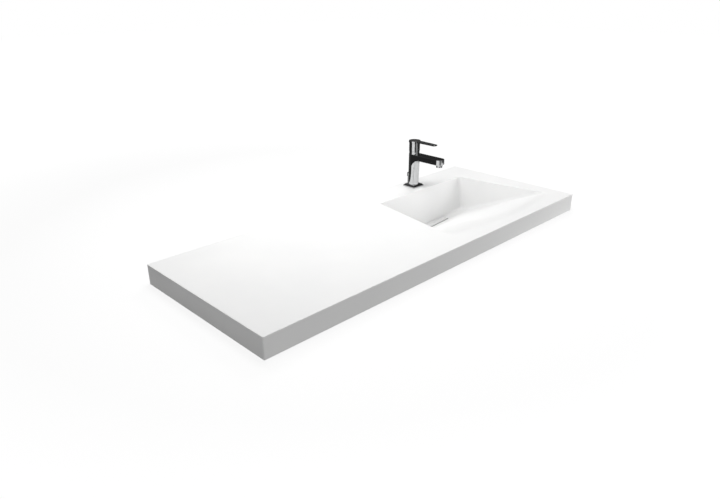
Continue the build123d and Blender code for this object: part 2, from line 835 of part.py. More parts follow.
def tap_body():
    """Return the mixer's body with its spout, waterways and cartridge bore."""
    shoulder = crown_z - neck_height
    body = post(tap_x, tap_y, body_z, shoulder, body_radius)
    body = body + post(tap_x, tap_y, shoulder, crown_z, neck_radius)
    body = body + post(tap_x, tap_y, spigot_z, body_z, spigot_radius)
    body = body + spout() + spout_arch()
    outlet_y = tap_y - aerator_reach
    boss = post(tap_x, outlet_y, spout_z - aerator_boss_below, spout_z + overrun, aerator_boss_radius)
    body = body + boss
    body = body - post(tap_x, tap_y, cartridge_z, crown_z + overrun, cartridge_bore_radius)
    body = body - bar_y(tap_x, channel_z, outlet_y, tap_y, waterway_radius)
    seat_top = spout_z - aerator_below + aerator_height
    body = body - post(tap_x, outlet_y, seat_top - overrun, channel_z, waterway_radius)
    seat_radius = aerator_radius + aerator_seat_clearance
    body = body - post(tap_x, outlet_y, spout_z - 2 * aerator_below, seat_top, seat_radius)
    for x in around(tap_x, inlet_spacing):
        y = tap_y - inlet_forward
        body = body - post(x, y, spigot_z - overrun, spigot_z + inlet_depth, inlet_radius)
        body = body - post(x, y, spigot_z, cartridge_z + overrun, supply_radius)
    stud_z = (spigot_z - overrun, spigot_z + stud_insertion)
    return body - post(tap_x, tap_y + stud_back, *stud_z, stud_radius)


def aerator_housing():
    """Return the aerator's ring with its key notches."""
    outlet_y = tap_y - aerator_reach
    low = spout_z - aerator_below
    inner = aerator_radius - aerator_wall
    housing = ring(tap_x, outlet_y, low, low + aerator_height, aerator_radius, inner)
    cut = Box(aerator_notch_width, aerator_radius, 2 * aerator_notch_height)
    for index in range(aerator_notch_count):
        notch = Pos(0, -aerator_radius, 0) * cut
        turn = Rot(Z=aerator_notch_turn + 360 * index / aerator_notch_count)
        housing = housing - Pos(tap_x, outlet_y, low) * turn * notch
    return housing


def aerator_insert():
    """Return the perforated disc inside the aerator."""
    outlet_y = tap_y - aerator_reach
    low = spout_z - aerator_below + insert_recess
    radius = aerator_radius - aerator_wall
    disc = post(tap_x, outlet_y, low, low + insert_thickness, radius)
    rings = [(insert_ring_radius, insert_ring_holes), (insert_outer_ring_radius, insert_outer_ring_holes)]
    places = [(0, 0)]
    for circle, count in rings:
        for index in range(count):
            angle = 2 * math.pi * index / count
            places.append((circle * math.cos(angle), circle * math.sin(angle)))
    high = low + insert_thickness + overrun
    for x, y in places:
        disc = disc - post(tap_x + x, outlet_y + y, low - overrun, high, insert_hole_radius)
    return disc


def cartridge():
    """Return the ceramic cartridge's housing with the bore for its rotor."""
    top = crown_z - cartridge_nut_height
    housing = post(tap_x, tap_y, cartridge_z, top, cartridge_radius)
    rotor_z = top - rotor_depth
    housing = housing - post(tap_x, tap_y, rotor_z, top + overrun, rotor_radius + rotor_clearance)
    for x in around(tap_x, inlet_spacing):
        y = tap_y - inlet_forward
        housing = housing - post(x, y, cartridge_z - overrun, cartridge_z + inlet_depth, supply_radius)
    outlet_z = cartridge_z + inlet_depth / 2
    return housing - bar_y(tap_x, outlet_z, tap_y - 2 * cartridge_radius, tap_y, outlet_radius)


def cartridge_nut():
    """Return the ring nut that holds the cartridge down."""
    low = crown_z - cartridge_nut_height
    radius = cartridge_bore_radius - thread_clearance
    return ring(tap_x, tap_y, low, crown_z, radius, rotor_radius + 2 * rotor_clearance)


def cartridge_rotor():
    """Return the rotor that the handle turns."""
    low = crown_z - cartridge_nut_height - rotor_depth
    high = crown_z + rotor_above
    return ring(tap_x, tap_y, low, high, rotor_radius, spindle_radius + spindle_clearance)


def valve_spindle():
    """Return the spindle that the lever lifts, with its ball end."""
    neck_low = crown_z + rotor_above + spindle_seat
    low = crown_z - cartridge_nut_height - rotor_depth + spindle_depth / 2
    shaft = post(tap_x, tap_y, low, neck_low, spindle_radius)
    neck = post(tap_x, tap_y, neck_low, hinge_z, spindle_neck_radius)
    return shaft + neck + Pos(tap_x, tap_y, hinge_z) * Sphere(spindle_ball_radius)


def handle_collar():
    """Return the round handle, hollow below, with the lever's window and hinge pocket in its roof."""
    top = top_z + collar_top
    roof_z = top - collar_roof
    shell = post(tap_x, tap_y, collar_z, top, collar_radius)
    shell = shell - post(tap_x, tap_y, collar_z - overrun, roof_z, collar_radius - collar_wall)
    hub_z = crown_z + rotor_above - hub_height
    hub = post(tap_x, tap_y, hub_z, roof_z, hub_radius)
    shell = shell + hub
    socket = rotor_radius + hub_clearance
    shell = shell - post(tap_x, tap_y, hub_z - overrun, crown_z + rotor_above, socket)
    window_x = around(tap_x, slider_width + 2 * window_side_play)
    window_y = (tap_y - slider_front - window_front_play, tap_y + slider_back + window_back_play)
    window_z = (hinge_z - slider_below - overrun / 2, top + overrun)
    shell = shell - block(window_x, window_y, window_z)
    shell = shell - post(tap_x, tap_y, crown_z, top, spindle_radius + spindle_clearance)
    pocket_x = around(tap_x, knuckle_width + 2 * knuckle_clearance)
    pocket_radius = knuckle_radius + knuckle_clearance
    shell = shell - bar_x(hinge_y, hinge_z, *pocket_x, pocket_radius)
    shell = shell - block(pocket_x, around(hinge_y, 2 * pocket_radius), (hinge_z, top + overrun))
    pin_x = around(tap_x, lever_pin_length + 2 * lever_pin_clearance)
    shell = shell - bar_x(hinge_y, hinge_z, *pin_x, lever_pin_radius + lever_pin_clearance / 2)
    relief = Box(plate_size, plate_size, plate_size, align=(Align.CENTER, Align.MIN, Align.MIN))
    shell = shell - Pos(tap_x, hinge_y, top) * Rot(X=-(lever_lift_angle + relief_margin_angle)) * relief
    grub_z = hub_z + hub_height / 2
    inner = tap_y + rotor_radius
    shell = shell - bar_y(tap_x, grub_z, inner, tap_y + collar_radius + overrun, grub_radius)
    return shell


def collar_screw():
    """Return the grub screw that fixes the handle to the rotor."""
    hub_z = crown_z + rotor_above - hub_height
    grub_z = hub_z + hub_height / 2
    start = tap_y + rotor_radius + closed_gap
    end = tap_y + collar_radius - collar_wall / 2
    return bar_y(tap_x, grub_z, start, end, grub_radius - thread_clearance)


def lever_blade():
    """Return the blade, narrower, thinner and lower towards its tip."""
    root = lever_width / 2
    tip = lever_tip_width / 2
    top = lever_z + lever_thickness
    tip_top = top - lever_tip_drop
    tip_low = tip_top - lever_tip_thickness
    outline = [(-root, -root), (root, -root), (tip, -lever_reach), (-tip, -lever_reach)]
    face = Plane(origin=(tap_x, tap_y, tip_low)) * make_face(Polyline(*outline, close=True))
    plan = extrude(face, top - tip_low)
    plan = fillet(plan.edges().filter_by(Axis.Z).group_by(Axis.Y)[0], lever_tip_width / 5)
    underside = [(root, lever_z), (collar_radius, lever_z), (lever_reach, tip_low)]
    profile = make_face(Polyline(*underside, (lever_reach, tip_top), (root, top), close=True))
    aside = Plane(origin=(tap_x + lever_width, tap_y, 0), x_dir=(0, -1, 0), z_dir=(-1, 0, 0))
    blade = plan & extrude(aside * profile, 2 * lever_width)
    return fillet(blade.faces().sort_by(Axis.Z)[-1].edges(), lever_edge)


def lever():
    """Return the flat lever with its knuckle and the slotted slider that lifts the spindle."""
    top = lever_z + lever_thickness
    disc = post(tap_x, tap_y, lever_z, top, collar_radius + lever_overhang)
    plate = fillet(disc.edges().group_by(Axis.Z)[-1], lever_edge) + lever_blade()
    knuckle = bar_x(hinge_y, hinge_z, *around(tap_x, knuckle_width), knuckle_radius)
    rise_y = (hinge_y - knuckle_radius, hinge_y + knuckle_radius / 3)
    rise = block(around(tap_x, knuckle_width), rise_y, (hinge_z, lever_z + lever_edge))
    slider_y = (tap_y - slider_front, tap_y + slider_back)
    slider = block(around(tap_x, slider_width), slider_y, (hinge_z - slider_below, lever_z + lever_edge))
    lever_solid = plate + knuckle + rise + slider
    way_y = (slider_y[0] - overrun, slider_y[1] + overrun / 5)
    ball_way = bar_y(tap_x, hinge_z, *way_y, spindle_ball_radius + slider_play)
    slit = block(around(tap_x, slider_slit), way_y, (hinge_z - 2 * slider_below, hinge_z))
    pin_hole = lever_pin_radius + lever_pin_clearance
    return lever_solid - ball_way - slit - bar_x(hinge_y, hinge_z, *around(tap_x, plate_size), pin_hole)


def lever_pin():
    """Return the hinge pin of the lever."""
    return bar_x(hinge_y, hinge_z, *around(tap_x, lever_pin_length), lever_pin_radius)


def fixing_stud():
    """Return the threaded stud that draws the mixer down."""
    high = spigot_z + stud_insertion
    return post(tap_x, tap_y + stud_back, high - stud_length, high, stud_radius - thread_clearance)


def horseshoe(low, high):
    """Return a washer under the worktop, open to the front for the inlets."""
    plate = post(tap_x, tap_y, low, high, washer_radius)
    gap_y = (tap_y - 2 * washer_radius, tap_y + horseshoe_back)
    return plate - block(around(tap_x, horseshoe_gap), gap_y, (low - overrun, high + overrun))


def fixing_washer():
    """Return the rubber washer, which fills the space round the spigot."""
    low = panel_z - rubber_thickness
    washer = horseshoe(low, panel_z)
    return washer - post(tap_x, tap_y, low - overrun, panel_z + overrun, spigot_radius + closed_gap)


def fixing_horseshoe():
    """Return the steel horseshoe washer."""
    high = panel_z - max(rubber_thickness, spigot_below)
    plate = horseshoe(high - horseshoe_thickness, high)
    stud_hole = stud_radius + stud_hole_clearance
    return plate - post(tap_x, tap_y + stud_back, high - overrun, high + overrun, stud_hole)


def fixing_nut():
    """Return the nut on the stud."""
    high = panel_z - max(rubber_thickness, spigot_below) - horseshoe_thickness
    low = high - stud_nut_height
    return hexagon_nut(tap_x, tap_y + stud_back, low, high, stud_nut_radius, stud_radius)


def insert_places():
    """Return the places of the four threaded inserts."""
    middle = (rail_left_x + rail_right_x) / 2
    ys = (rail_front_y + rail_width / 2, rail_back_y - rail_width / 2)
    return [(x, y) for x in around(middle, insert_pitch) for y in ys]


def rail(y_span):
    """Return one long batten under the sheet, with pockets for the threaded inserts."""
    strip = block((rail_left_x, rail_right_x), y_span, (0, panel_z))
    depth = insert_length + insert_pocket
    for x, y in insert_places():
        if y_span[0] < y < y_span[1]:
            strip = strip - post(x, y, -overrun, depth, insert_radius)
    return strip


def cross_rails():
    """Return the short battens between the two long ones."""
    y_span = (rail_front_y + rail_width, rail_back_y - rail_width)
    strips = []
    for share in cross_rail_shares:
        x = rail_left_x + rail_length * share
        strips.append(block(around(x, rail_width), y_span, (0, panel_z)))
    return Compound(children=strips)


def threaded_inserts():
    """Return the four brass inserts for the cabinet screws."""
    outer = insert_radius - insert_clearance
    places = insert_places()
    return Compound(children=[ring(x, y, 0, insert_length, outer, insert_bore_radius) for x, y in places])


def worktop_parts():
    """Return the white parts and the carcass under them."""
    return {
        "worktop_panel": worktop_panel(),
        "front_apron": long_apron((front_y, front_y + apron_thickness), 0),
        "rear_apron": long_apron((rear_y - apron_thickness, rear_y), -1),
        "left_apron": end_apron((left_x, left_x + apron_thickness)),
        "right_apron": end_apron((right_x - apron_thickness, right_x)),
        "basin_bowl": basin_bowl(),
        "slot_cover": slot_cover(),
        "slot_cover_feet": slot_cover_feet(),
        "front_rail": rail((rail_front_y, rail_front_y + rail_width)),
        "rear_rail": rail((rail_back_y - rail_width, rail_back_y)),
        "cross_rails": cross_rails(),
        "threaded_inserts": threaded_inserts(),
    }


def drain_parts():
    """Return the drain box, the waste and the pop-up linkage."""
    seal_low = drain_box_z - waste_seal_thickness
    seal_outer = waste_flange_radius - waste_hole_clearance
    tube = waste_tube_radius + thread_clearance
    return {
        "drain_box": drain_box(),
        "drain_box_seal": drain_box_seal(),
        "drain_box_screws": drain_box_screws(),
        "waste_body": waste_body(),
        "waste_upper_seal": ring(
            drain_x, drain_y, drain_floor_z, drain_floor_z + waste_seal_thickness, seal_outer, tube,
        ),
        "waste_lower_seal": ring(drain_x, drain_y, seal_low, drain_box_z, seal_outer, tube),
        "waste_nut": hexagon_nut(drain_x, drain_y, waste_nut_z, seal_low, waste_nut_radius, tube),
        "tailpiece": tailpiece(),
        "tailpiece_seal": tailpiece_seal(),
        "tailpiece_nut": tailpiece_nut(),
        "popup_plug": popup_plug(),
        "plug_seal": plug_seal(),
        "pivot_rod": pivot_rod(),
        "clevis_clip": clevis_clip(),
        "ball_socket_nut": ball_socket_nut(),
        "ball_seal": ball_seal(),
        "lift_rod": lift_rod(),
        "lift_knob": lift_knob(),
        "clevis_strap": clevis_strap(),
        "clevis_screw": clevis_screw(),
    }


def mixer_parts():
    """Return the mixer's parts."""
    return {
        "tap_plate": tap_plate(),
        "tap_plate_gasket": tap_plate_gasket(),
        "tap_body": tap_body(),
        "aerator_housing": aerator_housing(),
        "aerator_insert": aerator_insert(),
        "cartridge": cartridge(),
        "cartridge_nut": cartridge_nut(),
        "cartridge_rotor": cartridge_rotor(),
        "valve_spindle": valve_spindle(),
        "handle_collar": handle_collar(),
        "collar_screw": collar_screw(),
        "lever": lever(),
        "lever_pin": lever_pin(),
        "fixing_stud": fixing_stud(),
        "fixing_washer": fixing_washer(),
        "fixing_horseshoe": fixing_horseshoe(),
        "fixing_nut": fixing_nut(),
    }


os.makedirs("parts", exist_ok=True)
for name, shape in {**worktop_parts(), **drain_parts(), **mixer_parts()}.items():
    export_step(shape, f"parts/{name}.step")
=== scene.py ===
"""Looks, studio and camera for the vanity top with its ramp basin and single-lever mixer."""

import json
import logging
import math
from dataclasses import dataclass
from enum import Enum
from typing import Iterable, Sequence

import bmesh
import bpy
from mathutils import Matrix, Vector

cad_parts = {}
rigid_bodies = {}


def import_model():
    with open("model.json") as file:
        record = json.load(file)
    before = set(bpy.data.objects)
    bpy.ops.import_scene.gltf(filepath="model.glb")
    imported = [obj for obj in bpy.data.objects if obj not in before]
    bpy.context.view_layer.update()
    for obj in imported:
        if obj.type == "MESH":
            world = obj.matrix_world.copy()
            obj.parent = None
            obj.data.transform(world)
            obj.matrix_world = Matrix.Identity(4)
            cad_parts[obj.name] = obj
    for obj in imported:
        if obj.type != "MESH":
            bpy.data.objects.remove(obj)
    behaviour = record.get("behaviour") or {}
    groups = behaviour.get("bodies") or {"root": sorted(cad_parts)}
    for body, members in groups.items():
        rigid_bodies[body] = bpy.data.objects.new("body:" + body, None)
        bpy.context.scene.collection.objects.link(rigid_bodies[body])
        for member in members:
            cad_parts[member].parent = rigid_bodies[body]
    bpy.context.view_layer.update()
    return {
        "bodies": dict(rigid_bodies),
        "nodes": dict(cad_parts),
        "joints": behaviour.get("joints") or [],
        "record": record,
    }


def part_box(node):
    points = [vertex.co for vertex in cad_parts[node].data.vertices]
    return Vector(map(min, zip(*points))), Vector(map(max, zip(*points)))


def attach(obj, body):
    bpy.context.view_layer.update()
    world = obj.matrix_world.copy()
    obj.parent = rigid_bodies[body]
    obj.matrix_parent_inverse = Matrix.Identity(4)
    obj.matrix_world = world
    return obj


LOG = logging.getLogger("inset_basin")
Colour = tuple[float, float, float]
Point = tuple[float, float, float]
Pair = tuple[float, float]
WHITE = (1.0, 1.0, 1.0, 1.0)
BLACK = (0.0, 0.0, 0.0, 1.0)
# A noise texture's values lie mostly between these two.
NOISE_LOW = 0.3
NOISE_HIGH = 0.7
# Rays that look for edges round each point.
EDGE_SAMPLES = 4


class Slot(Enum):
    """Material slots of the record that the finishes belong to."""

    SOLID_SURFACE = "solid_surface"
    CHROME = "chrome"
    STEEL = "steel"
    BRASS = "brass"
    RUBBER = "rubber"
    GREY_PLASTIC = "grey_plastic"
    DARK_PLASTIC = "dark_plastic"
    WOOD = "wood"


class Body(Enum):
    """Rigid bodies of the model that added pieces ride on."""

    TOP = "top"


@dataclass(frozen=True)
class Grain:
    """A noise pattern: its features per metre, its octaves and its stretch along the axes."""

    scale: float
    octaves: float
    stretch: Point = (1.0, 1.0, 1.0)


class NodeSheet:
    """A node tree, with short calls to add nodes and join them."""

    def __init__(self, tree: bpy.types.NodeTree) -> None:
        """Takes the node tree of a material or of the world and empties it."""
        self.tree = tree
        self.tree.nodes.clear()

    def node(self, kind: str, **values: object) -> bpy.types.Node:
        """Adds a node and sets its sockets or properties.

        Args:
            kind: Blender's name of the node type.
            **values: Socket values, with spaces written as underscores, or node properties.

        Returns:
            The new node.
        """
        made = self.tree.nodes.new(kind)
        for key, value in values.items():
            socket = made.inputs.get(key.replace("_", " "))
            if socket is not None:
                socket.default_value = value
            else:
                setattr(made, key, value)
        return made

    def join(self, source: bpy.types.Node, out: str, target: bpy.types.Node, into: str | int) -> None:
        """Links an output of the source to an input of the target, which has a name or a number."""
        self.tree.links.new(source.outputs[out], target.inputs[into])

    def shown_rays(self) -> bpy.types.Node:
        """Adds a switch that is 1 for camera, glossy and transmission rays and 0 for the others.

        Returns:
            The node whose value is the switch.
        """
        rays = self.node("ShaderNodeLightPath")
        seen = self.node("ShaderNodeMath", operation="MAXIMUM")
        self.join(rays, "Is Camera Ray", seen, 0)
        self.join(rays, "Is Glossy Ray", seen, 1)
        switch = self.node("ShaderNodeMath", operation="MAXIMUM")
        self.join(seen, "Value", switch, 0)
        self.join(rays, "Is Transmission Ray", switch, 1)
        return switch


class ShaderSheet(NodeSheet):
    """A material's node tree with one principled shader."""

    def __init__(self, name: str) -> None:
        """Makes a material with an output and a principled shader.

        Args:
            name: The material's name.
        """
        self.material = bpy.data.materials.new(name)
        self.material.use_nodes = True
        super().__init__(self.material.node_tree)
        self.output = self.node("ShaderNodeOutputMaterial")
        self.shader = self.node("ShaderNodeBsdfPrincipled")
        self.join(self.shader, "BSDF", self.output, "Surface")

    def set(self, **values: object) -> None:
        """Sets sockets of the shader, whose names have underscores for spaces here."""
        for key, value in values.items():
            self.shader.inputs[key.replace("_", " ")].default_value = value

    def places(self, stretch: Point = (1.0, 1.0, 1.0)) -> bpy.types.Node:
        """Adds object coordinates, stretched along the axes.

        Args:
            stretch: Factors along X, Y and Z.

        Returns:
            The mapping node that gives the coordinates.
        """
        coordinates = self.node("ShaderNodeTexCoord")
        mapping = self.node("ShaderNodeMapping", Scale=stretch)
        self.join(coordinates, "Object", mapping, "Vector")
        return mapping

    def noise(self, grain: Grain) -> bpy.types.Node:
        """Adds a noise texture in object coordinates.

        Args:
            grain: The pattern.

        Returns:
            The noise node.
        """
        texture = self.node("ShaderNodeTexNoise", Scale=grain.scale, Detail=grain.octaves)
        self.join(self.places(grain.stretch), "Vector", texture, "Vector")
        return texture

    def tint(self, source: bpy.types.Node, first: Colour, second: Colour) -> None:
        """Colours the shader between two colours by a pattern.

        Args:
            source: The pattern's node.
            first: The colour at the pattern's low end.
            second: The colour at its high end.
        """
        ramp = self.node("ShaderNodeValToRGB")
        ends = ((NOISE_LOW, first), (NOISE_HIGH, second))
        for element, (position, colour) in zip(ramp.color_ramp.elements, ends):
            element.position = position
            element.color = (*colour, 1.0)
        self.join(source, "Fac", ramp, "Fac")
        self.join(ramp, "Color", self.shader, "Base Color")

    def gloss(self, source: bpy.types.Node, low: float, high: float) -> None:
        """Varies the shader's roughness by a pattern.

        Args:
            source: The pattern's node.
            low: The roughness at the pattern's low end.
            high: The roughness at its high end.
        """
        ranged = self.node(
            "ShaderNodeMapRange", From_Min=NOISE_LOW, From_Max=NOISE_HIGH, To_Min=low, To_Max=high,
        )
        self.join(source, "Fac", ranged, "Value")
        self.join(ranged, "Result", self.shader, "Roughness")

    def relief(self, source: bpy.types.Node, distance: float, rounding: float = 0.0) -> None:
        """Gives the shader a bump from a pattern, over edges that look rounded.

        Args:
            source: The pattern's node.
            distance: The bump's height in metres.
            rounding: The radius that sharp edges seem to have, in metres.
        """
        bump = self.node("ShaderNodeBump", Strength=1.0, Distance=distance)
        self.join(source, "Fac", bump, "Height")
        if rounding > 0:
            soft = self.node("ShaderNodeBevel", samples=EDGE_SAMPLES, Radius=rounding)
            self.join(soft, "Normal", bump, "Normal")
        self.join(bump, "Normal", self.shader, "Normal")


@dataclass(frozen=True)
class Finish:
    """What every finish has: a slot of the record and a way to build its material."""

    slot: Slot

    def sheet(self) -> ShaderSheet:
        """Returns the finish's node tree."""
        raise NotImplementedError

    def build(self) -> bpy.types.Material:
        """Returns the finished material."""
        return self.sheet().material


@dataclass(frozen=True)
class CastSurface(Finish):
    """Cast mineral composite: satin white with a faint mottle."""

    slot: Slot = Slot.SOLID_SURFACE
    pale: Colour = (0.905, 0.905, 0.9)
    deep: Colour = (0.885, 0.886, 0.884)
    mottle: Grain = Grain(9.0, 5.0)
    smoothest: float = 0.36
    roughest: float = 0.46
    sheen: Grain = Grain(24.0, 4.0)
    specular: float = 0.4
    peel: Grain = Grain(420.0, 2.0)
    peel_height: float = 0.000012

    def sheet(self) -> ShaderSheet:
        """Lays out the white composite.

        Returns:
            Its node tree.
        """
        sheet = ShaderSheet(self.slot.value)
        sheet.tint(sheet.noise(self.mottle), self.deep, self.pale)
        sheet.gloss(sheet.noise(self.sheen), self.smoothest, self.roughest)
        sheet.set(Specular_IOR_Level=self.specular)
        sheet.relief(sheet.noise(self.peel), self.peel_height)
        return sheet


@dataclass(frozen=True)
class ChromePlate(Finish):
    """Polished chrome with faint smudges where hands and water reach it."""

    slot: Slot = Slot.CHROME
    bright: Colour = (0.6, 0.605, 0.61)
    dull: Colour = (0.56, 0.565, 0.57)
    film: Grain = Grain(70.0, 5.0)
    clean: float = 0.03
    smudged: float = 0.085
    smudges: Grain = Grain(110.0, 6.0)
    waves: Grain = Grain(160.0, 2.0)
    wave_height: float = 0.000004
    rounding: float = 0.00035

    def sheet(self) -> ShaderSheet:
        """Lays out the chrome.

        Returns:
            Its node tree.
        """
        sheet = ShaderSheet(self.slot.value)
        sheet.set(Metallic=1.0)
        sheet.tint(sheet.noise(self.film), self.dull, self.bright)
        sheet.gloss(sheet.noise(self.smudges), self.clean, self.smudged)
        sheet.relief(sheet.noise(self.waves), self.wave_height, self.rounding)
        return sheet


@dataclass(frozen=True)
class WorkedMetal(Finish):
    """Plain turned, rolled or drawn metal with fine tool lines."""

    slot: Slot
    bright: Colour
    dull: Colour
    patches: Grain = Grain(55.0, 6.0)
    clean: float = 0.24
    worn: float = 0.42
    lines: Grain = Grain(1.0, 4.0, (60.0, 60.0, 1400.0))
    line_depth: float = 0.00003
    rounding: float = 0.0003

    def sheet(self) -> ShaderSheet:
        """Lays out the worked metal.

        Returns:
            Its node tree.
        """
        sheet = ShaderSheet(self.slot.value)
        sheet.set(Metallic=1.0)
        sheet.tint(sheet.noise(self.patches), self.dull, self.bright)
        lines = sheet.noise(self.lines)
        sheet.gloss(lines, self.clean, self.worn)
        sheet.relief(lines, self.line_depth, self.rounding)
        return sheet


@dataclass(frozen=True)
class SealRubber(Finish):
    """Black rubber with a dusty bloom."""

    slot: Slot = Slot.RUBBER
    black: Colour = (0.018, 0.018, 0.019)
    bloom: Colour = (0.045, 0.045, 0.046)
    bloom_patches: Grain = Grain(140.0, 6.0)
    wiped: float = 0.62
    dusty: float = 0.85
    dust: Grain = Grain(260.0, 4.0)
    pores: Grain = Grain(2200.0, 3.0)
    pore_depth: float = 0.00004
    rounding: float = 0.0002

    def sheet(self) -> ShaderSheet:
        """Lays out the rubber.

        Returns:
            Its node tree.
        """
        sheet = ShaderSheet(self.slot.value)
        sheet.tint(sheet.noise(self.bloom_patches), self.black, self.bloom)
        sheet.gloss(sheet.noise(self.dust), self.wiped, self.dusty)
        sheet.relief(sheet.noise(self.pores), self.pore_depth, self.rounding)
        return sheet


@dataclass(frozen=True)
class MouldedPlastic(Finish):
    """Moulded plastic with a spark-eroded grain."""

    slot: Slot = Slot.GREY_PLASTIC
    light: Colour = (0.46, 0.47, 0.48)
    dark: Colour = (0.41, 0.42, 0.43)
    flow: Grain = Grain(40.0, 5.0)
    smoothest: float = 0.42
    roughest: float = 0.6
    sheen: Grain = Grain(300.0, 3.0)
    sparks: Grain = Grain(3200.0, 2.0)
    spark_depth: float = 0.00003
    rounding: float = 0.0004

    def sheet(self) -> ShaderSheet:
        """Lays out the plastic.

        Returns:
            Its node tree.
        """
        sheet = ShaderSheet(self.slot.value)
        sheet.tint(sheet.noise(self.flow), self.dark, self.light)
        sheet.gloss(sheet.noise(self.sheen), self.smoothest, self.roughest)
        sheet.relief(sheet.noise(self.sparks), self.spark_depth, self.rounding)
        return sheet


@dataclass(frozen=True)
class Softwood(Finish):
    """Planed softwood with growth rings and fibres along the batten."""

    slot: Slot = Slot.WOOD
    early: Colour = (0.62, 0.43, 0.24)
    late: Colour = (0.38, 0.22, 0.1)
    rings: Grain = Grain(55.0, 3.0, (0.12, 0.5, 1.0))
    ring_bend: float = 7.0
    ring_bend_scale: float = 1.4
    planed: float = 0.5
    raised: float = 0.72
    fibres: Grain = Grain(20.0, 6.0, (3.0, 3.0, 60.0))
    fibre_depth: float = 0.00012
    rounding: float = 0.0006

    def sheet(self) -> ShaderSheet:
        """Lays out the wood.

        Returns:
            Its node tree.
        """
        sheet = ShaderSheet(self.slot.value)
        rings = sheet.node(
            "ShaderNodeTexWave", bands_direction="Z", Scale=self.rings.scale, Detail=self.rings.octaves,
            Distortion=self.ring_bend, Detail_Scale=self.ring_bend_scale,
        )
        sheet.join(sheet.places(self.rings.stretch), "Vector", rings, "Vector")
        sheet.tint(rings, self.early, self.late)
        fibres = sheet.noise(self.fibres)
        sheet.gloss(fibres, self.planed, self.raised)
        sheet.relief(fibres, self.fibre_depth, self.rounding)
        return sheet


@dataclass
class Palette:
    """All finishes, each built once and handed out by its slot."""

    finishes: tuple[Finish, ...] = (
        CastSurface(),
        ChromePlate(),
        WorkedMetal(Slot.STEEL, bright=(0.6, 0.6, 0.61), dull=(0.47, 0.47, 0.48)),
        WorkedMetal(Slot.BRASS, bright=(0.78, 0.56, 0.27), dull=(0.6, 0.42, 0.19)),
        SealRubber(),
        MouldedPlastic(),
        MouldedPlastic(Slot.DARK_PLASTIC, light=(0.055, 0.055, 0.058), dark=(0.03, 0.03, 0.032)),
        Softwood(),
    )

    def __post_init__(self) -> None:
        """Builds the materials."""
        self.made = {finish.slot: finish.build() for finish in self.finishes}

    def dress(self, piece: bpy.types.Object, slot: Slot) -> None:
        """Gives a piece the finish of one slot all over."""
        piece.data.materials.clear()
        piece.data.materials.append(self.made[slot])


class Workshop:
    """Makes mesh objects from points and faces."""

    @staticmethod
    def piece(
        name: str, points: Iterable[Point | Vector], faces: Iterable[Sequence[int]], smooth: bool = True,
    ) -> bpy.types.Object:
        """Makes a mesh object.

        Args:
            name: The object's name.
            points: The mesh's points.
            faces: The faces, each as the numbers of its points in order.
            smooth: Whether the faces are shaded smooth.

        Returns:
            The new object, linked to the scene.
        """
        mesh = bpy.data.meshes.new(name)
        working = bmesh.new()
        corners = [working.verts.new(point) for point in points]
        for numbers in faces:
            working.faces.new([corners[number] for number in numbers])
        bmesh.ops.recalc_face_normals(working, faces=working.faces)
        working.to_mesh(mesh)
        working.free()
        for face in mesh.polygons:
            face.use_smooth = smooth
        made = bpy.data.objects.new(name, mesh)
        bpy.context.scene.collection.objects.link(made)
        return made

    @staticmethod
    def band(first: int, second: int, count: int) -> list[tuple[int, ...]]:
        """Plans the faces between two equal loops, given by the numbers of their first points."""
        pairs = [(here, (here + 1) % count) for here in range(count)]
        return [(first + here, first + after, second + after, second + here) for here, after in pairs]

    @staticmethod
    def sweep(name: str, rings: list[list[Vector]]) -> bpy.types.Object:
        """Makes a smooth skin over a row of equal rings of points, closed at both ends.

        Args:
            name: The object's name.
            rings: The rings, each a loop of points.

        Returns:
            The new object, linked to the scene.
        """
        count = len(rings[0])
        last = (len(rings) - 1) * count
        faces = []
        for first in range(0, last, count):
            faces += Workshop.band(first, first + count, count)
        faces += [tuple(range(count)), tuple(reversed(range(last, last + count)))]
        return Workshop.piece(name, [point for ring in rings for point in ring], faces)


@dataclass
class ScrewThread:
    """A helical ridge round an upright shaft, with sloping flanks and run-out ends."""

    name: str
    foot: Point
    radius: float
    length: float
    pitch: float
    height: float
    body: Body
    slot: Slot
    steps_per_turn: int = 28
    run_out_turns: float = 0.5
    least_share: float = 0.02
    root_share: float = 0.3
    flank_share: float = 0.44
    crest_share: float = 0.2

    def ring(self, turn: float) -> list[Vector]:
        """Works out the ridge's section after a number of turns.

        Args:
            turn: The number of turns from the foot.

        Returns:
            Four points of the section.
        """
        left = self.length / self.pitch - turn
        fade = min(1.0, turn / self.run_out_turns, left / self.run_out_turns)
        crest = self.radius + self.height * max(fade, self.least_share)
        root = self.radius - self.height * self.root_share
        flank = self.pitch * self.flank_share
        tip = flank * self.crest_share
        angle = turn * math.tau
        outwards = Vector((math.cos(angle), math.sin(angle), 0.0))
        foot = Vector(self.foot)
        rise = turn * self.pitch
        profile = ((root, -flank), (crest, -tip), (crest, tip), (root, flank))
        return [foot + outwards * reach + Vector((0.0, 0.0, rise + lift)) for reach, lift in profile]

    def build(self, palette: Palette) -> None:
        """Makes the ridge and fixes it to its body.

        Args:
            palette: The finishes.
        """
        turns = self.length / self.pitch
        count = int(turns * self.steps_per_turn)
        made = Workshop.sweep(self.name, [self.ring(turns * index / count) for index in range(count + 1)])
        palette.dress(made, self.slot)
        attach(made, self.body.value)
        LOG.info("made %s, %.1f turns", self.name, turns)


@dataclass
class CarriedParts:
    """The CAD's own parts, dressed by the slots of the record."""

    frame: dict

    def dress(self, palette: Palette) -> None:
        """Gives every part the finish of its slot.

        Args:
            palette: The finishes.
        """
        slots = {entry["node"]: Slot(entry["material_slot"]) for entry in self.frame["record"]["subparts"]}
        for name, part in sorted(self.frame["nodes"].items()):
            palette.dress(part, slots[name])
            LOG.info("dressed %s in %s", name, slots[name].value)


